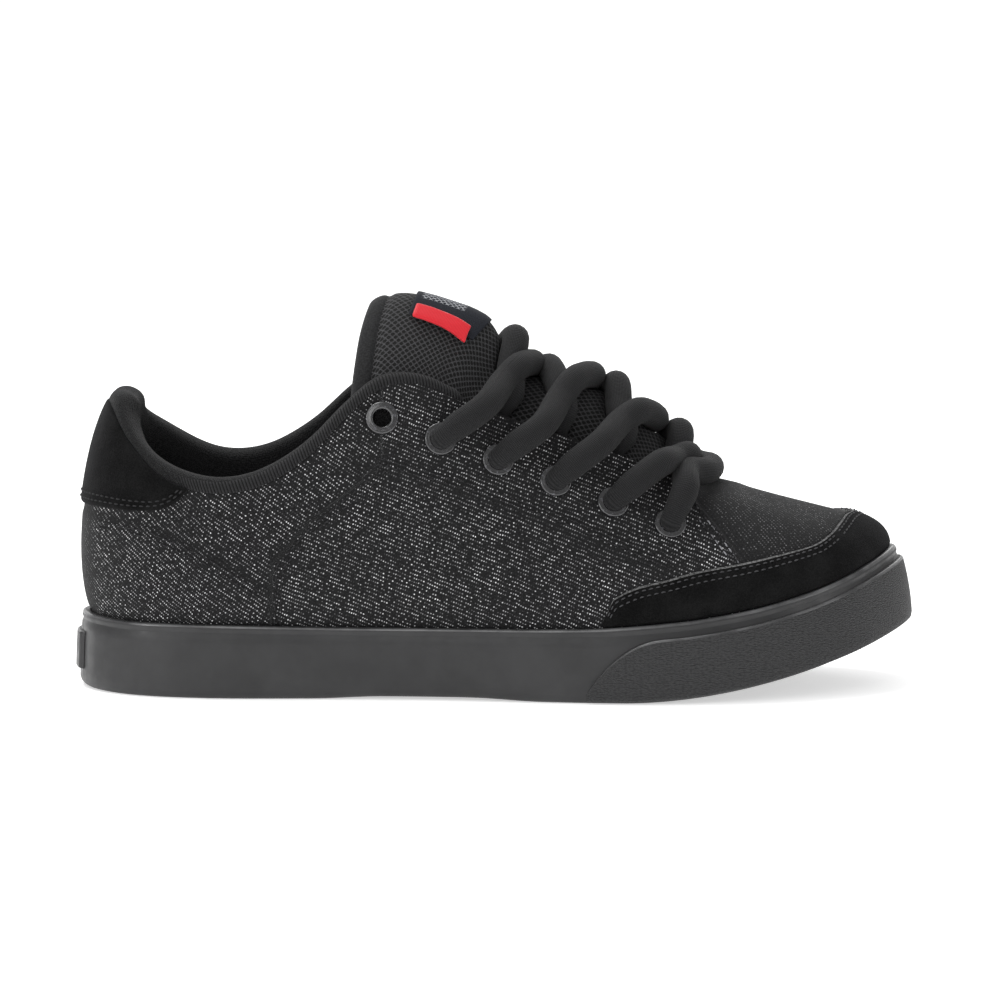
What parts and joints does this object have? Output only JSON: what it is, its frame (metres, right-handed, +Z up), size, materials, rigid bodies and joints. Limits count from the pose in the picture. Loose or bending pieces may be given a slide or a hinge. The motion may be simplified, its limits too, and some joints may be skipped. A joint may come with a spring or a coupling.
{
  "type": "skateboarding shoe",
  "caption": "Low-top laced skateboarding shoe, right foot, with padded collar and tongue, suede toe and heel covers, and a rubber cup sole with a toe bumper.",
  "frame": {"origin": "on the floor below the middle of the shoe's bounding box", "axes": "+X from the heel to the toe, +Y to the medial side, +Z up"},
  "size_m": [0.2957, 0.1084, 0.1392],
  "materials": {
    "rubber_dark_grey": "smooth moulded dark grey rubber",
    "rubber_toe_bumper": "finely textured dark grey rubber",
    "rubber_heel_label": "plain raised dark grey rubber",
    "denim_black_fleck": "black twill with pale flecks",
    "suede_black": "black napped suede",
    "knit_collar": "black padded knit with a ribbed binding",
    "fabric_insole": "black textile over foam",
    "mesh_tongue": "black diamond mesh over foam",
    "woven_label": "dark navy woven label with a plain grey pattern",
    "woven_tab_red": "plain red woven strip",
    "enamelled_eyelet": "black enamelled metal",
    "round_lace_black": "black woven cord"
  },
  "bodies": {
    "root": {"cupsole": "rubber_dark_grey", "toe_bumper": "rubber_toe_bumper", "heel_label": "rubber_heel_label", "insole": "fabric_insole", "upper": "denim_black_fleck", "toe_band": "suede_black", "heel_patch": "suede_black", "collar_padding": "knit_collar", "tongue": "mesh_tongue", "tongue_label": "woven_label", "tongue_tab": "woven_tab_red", "eyelet_lateral_1": "enamelled_eyelet", "eyelet_lateral_2": "enamelled_eyelet", "eyelet_lateral_3": "enamelled_eyelet", "eyelet_lateral_4": "enamelled_eyelet", "eyelet_lateral_5": "enamelled_eyelet", "eyelet_lateral_6": "enamelled_eyelet", "eyelet_medial_1": "enamelled_eyelet", "eyelet_medial_2": "enamelled_eyelet", "eyelet_medial_3": "enamelled_eyelet", "eyelet_medial_4": "enamelled_eyelet", "eyelet_medial_5": "enamelled_eyelet", "eyelet_medial_6": "enamelled_eyelet", "lace_crossing_1": "round_lace_black", "lace_crossing_2": "round_lace_black", "lace_crossing_3": "round_lace_black", "lace_crossing_4": "round_lace_black", "lace_bar": "round_lace_black"}
  },
  "joints": []
}
